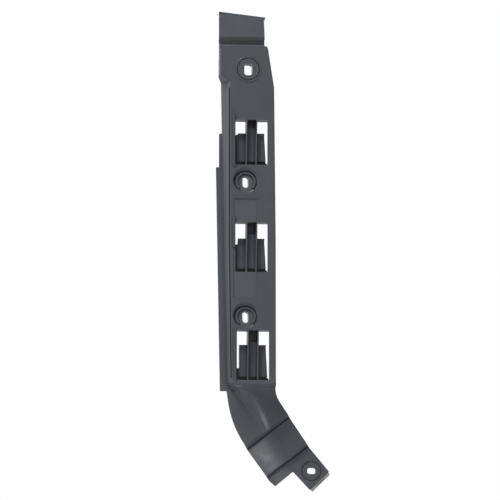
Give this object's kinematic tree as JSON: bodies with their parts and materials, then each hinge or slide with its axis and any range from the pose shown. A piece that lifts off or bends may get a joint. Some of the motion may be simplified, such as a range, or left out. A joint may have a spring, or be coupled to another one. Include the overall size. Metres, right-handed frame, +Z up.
{
  "type": "bumper mounting bracket",
  "caption": "Moulded plastic bracket with clip windows, slotted screw seats and an angled leg, which holds a bumper cover's edge to the body.",
  "frame": {"origin": "midway between the two middle screw slots, on the plane of the rail's front face", "axes": "+Z up along the rail, +X to the right seen from the front, -Y out of the front face"},
  "size_m": [0.1047, 0.0298, 0.434],
  "materials": {
    "moulded_plastic": "satin black moulded plastic with a fine grain"
  },
  "bodies": {
    "root": {"bracket": "moulded_plastic"}
  },
  "joints": []
}
